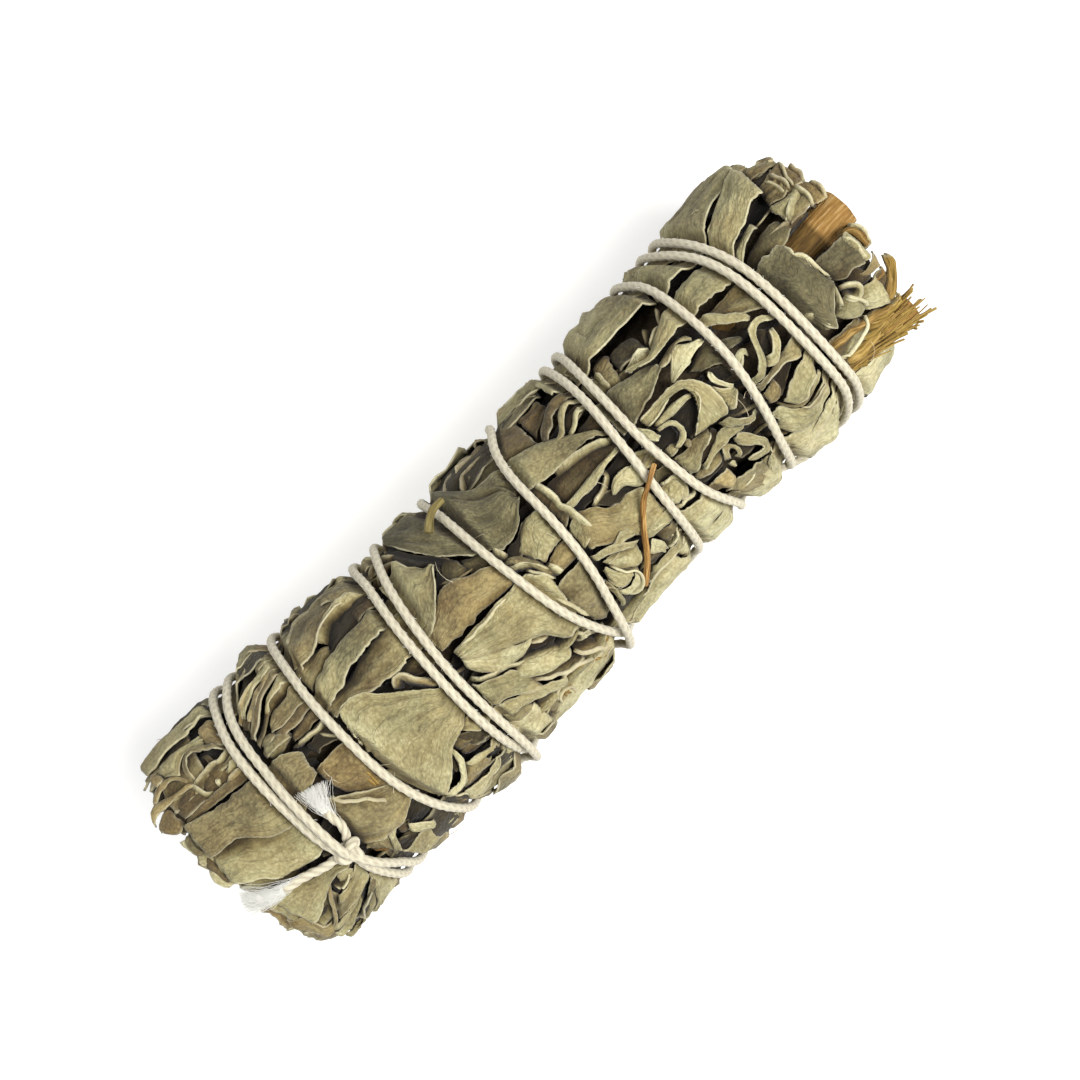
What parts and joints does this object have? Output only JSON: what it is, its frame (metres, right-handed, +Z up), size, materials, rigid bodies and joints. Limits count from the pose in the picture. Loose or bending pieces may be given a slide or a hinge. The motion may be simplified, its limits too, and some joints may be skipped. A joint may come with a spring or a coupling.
{
  "type": "sage smudge stick",
  "caption": "Tied stick of dried white sage, lying down: broad folded leaves round chopped woody stems, wound crosswise with cotton string and knotted near one end.",
  "frame": {"origin": "on the floor under the middle of the stick's bounding box, as it lies", "axes": "+X lengthwise towards the end with the thick cut stem, +Y across, +Z up"},
  "size_m": [0.0978, 0.0319, 0.0292],
  "materials": {
    "dried_leaf": "dry, felted and pebbled, dull grey-green to tan",
    "cotton_string": "twisted undyed cotton, matt and slightly hairy",
    "bark": "ridged ochre-brown bark with pale cut ends",
    "dry_straw": "thin dry orange-brown stalk",
    "olive_stub": "dull olive dried petiole"
  },
  "bodies": {
    "root": {"leaf_bunch": "dried_leaf", "string": "cotton_string", "stem_thick": "bark", "stem_slim": "bark", "stem_side": "bark", "stem_split": "bark", "stem_low": "bark", "stem_low_slim": "bark", "stem_left": "bark", "dry_stalk": "dry_straw", "leaf_stub": "olive_stub"}
  },
  "joints": []
}
